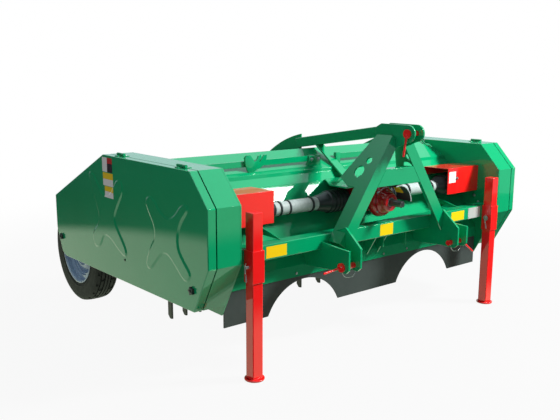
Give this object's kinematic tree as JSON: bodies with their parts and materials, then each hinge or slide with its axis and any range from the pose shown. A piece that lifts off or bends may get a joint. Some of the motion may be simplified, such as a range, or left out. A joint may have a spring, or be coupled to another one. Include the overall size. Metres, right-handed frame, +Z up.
{
  "type": "potato haulm topper",
  "caption": "Mounted potato haulm topper: flail rotor under a hood, three-point headstock, side belt drives, rubber front skirt, parking stands and rear depth wheels.",
  "frame": {"origin": "middle of the box on the floor", "axes": "+X to the machine's right as seen from the tractor side looking rearward, -Y to the tractor, +Z up"},
  "size_m": [2.244, 2.0301, 1.1],
  "materials": {
    "green_paint": "gloss green paint",
    "red_paint": "gloss red paint",
    "dark_red_paint": "dark red gloss paint on a casting",
    "black_plastic": "satin black plastic",
    "black_rubber": "matt rubber sheet",
    "tyre": "matt tyre rubber",
    "rim_paint": "silver grey paint",
    "black_steel": "black painted forged steel",
    "bare_steel": "machined steel"
  },
  "bodies": {
    "frame": {"axles": "bare_steel", "beam_gussets": "green_paint", "belt_cases": "green_paint", "belts": "black_rubber", "brace_fin": "green_paint", "brace_stay": "green_paint", "front_beam": "green_paint", "front_sheet": "green_paint", "front_skirt": "black_rubber", "gearbox": "dark_red_paint", "gearbox_shelf": "green_paint", "headstock_cross": "green_paint", "headstock_leg_left": "green_paint", "headstock_leg_right": "green_paint", "hood": "green_paint", "lower_ears": "green_paint", "lower_pins": "red_paint", "pto_shield": "black_plastic", "rear_beam": "green_paint", "rear_curtain": "black_rubber", "shaft_bearings": "bare_steel", "shaft_rail": "green_paint", "shaft_shields": "red_paint", "side_plates": "green_paint", "side_shafts": "black_plastic", "stand_sleeves": "red_paint", "top_brace": "green_paint", "top_ears": "green_paint", "top_pin": "red_paint", "wheel_arms": "green_paint"},
    "lid_left": {"lid_left": "green_paint", "lid_knobs_left": "black_plastic"},
    "lid_right": {"lid_right": "green_paint", "lid_knobs_right": "black_plastic"},
    "rotor": {"rotor_reel": "black_steel", "rotor_shaft": "bare_steel", "rotor_pulleys": "bare_steel"},
    "drive_left": {"drive_pulley_left": "bare_steel"},
    "drive_right": {"drive_pulley_right": "bare_steel"},
    "input": {"input_shaft": "bare_steel"},
    "stand_left": {"stand_leg_left": "red_paint"},
    "stand_right": {"stand_leg_right": "red_paint"},
    "wheel_left": {"rim_left": "rim_paint", "tyre_left": "tyre"},
    "wheel_right": {"rim_right": "rim_paint", "tyre_right": "tyre"}
  },
  "joints": [
    {"name": "rotor_spin", "type": "hinge", "parent": "frame", "child": "rotor", "pos_m": [0, -0.19255, 0.475], "axis": [1, 0, 0], "continuous": true},
    {"name": "input_spin", "type": "hinge", "parent": "frame", "child": "input", "pos_m": [0, -0.92755, 0.704], "axis": [0, 1, 0], "continuous": true},
    {"name": "drive_left_spin", "type": "hinge", "parent": "frame", "child": "drive_left", "pos_m": [-0.99, -0.63255, 0.704], "axis": [1, 0, 0], "continuous": true},
    {"name": "wheel_left_spin", "type": "hinge", "parent": "frame", "child": "wheel_left", "pos_m": [-0.9455, 0.71305, 0.302], "axis": [1, 0, 0], "continuous": true},
    {"name": "lid_left_hinge", "type": "hinge", "parent": "frame", "child": "lid_left", "pos_m": [-1.063, -0.30955, 0.945], "axis": [0, 1, 0], "range_deg": [0, 95]},
    {"name": "stand_left_slide", "type": "slide", "parent": "frame", "child": "stand_left", "axis": [0, 0, 1], "range_m": [0, 0.38]},
    {"name": "drive_right_spin", "type": "hinge", "parent": "frame", "child": "drive_right", "pos_m": [0.99, -0.63255, 0.704], "axis": [1, 0, 0], "continuous": true},
    {"name": "wheel_right_spin", "type": "hinge", "parent": "frame", "child": "wheel_right", "pos_m": [0.9455, 0.71305, 0.302], "axis": [1, 0, 0], "continuous": true},
    {"name": "lid_right_hinge", "type": "hinge", "parent": "frame", "child": "lid_right", "pos_m": [1.063, -0.30955, 0.945], "axis": [0, -1, 0], "range_deg": [0, 95]},
    {"name": "stand_right_slide", "type": "slide", "parent": "frame", "child": "stand_right", "axis": [0, 0, 1], "range_m": [0, 0.38]}
  ],
  "couplings": [
    {"joint": "drive_left_spin", "follows": "rotor_spin", "ratio": 0.7677},
    {"joint": "drive_right_spin", "follows": "rotor_spin", "ratio": 0.7677},
    {"joint": "input_spin", "follows": "rotor_spin", "ratio": 0.7677}
  ]
}
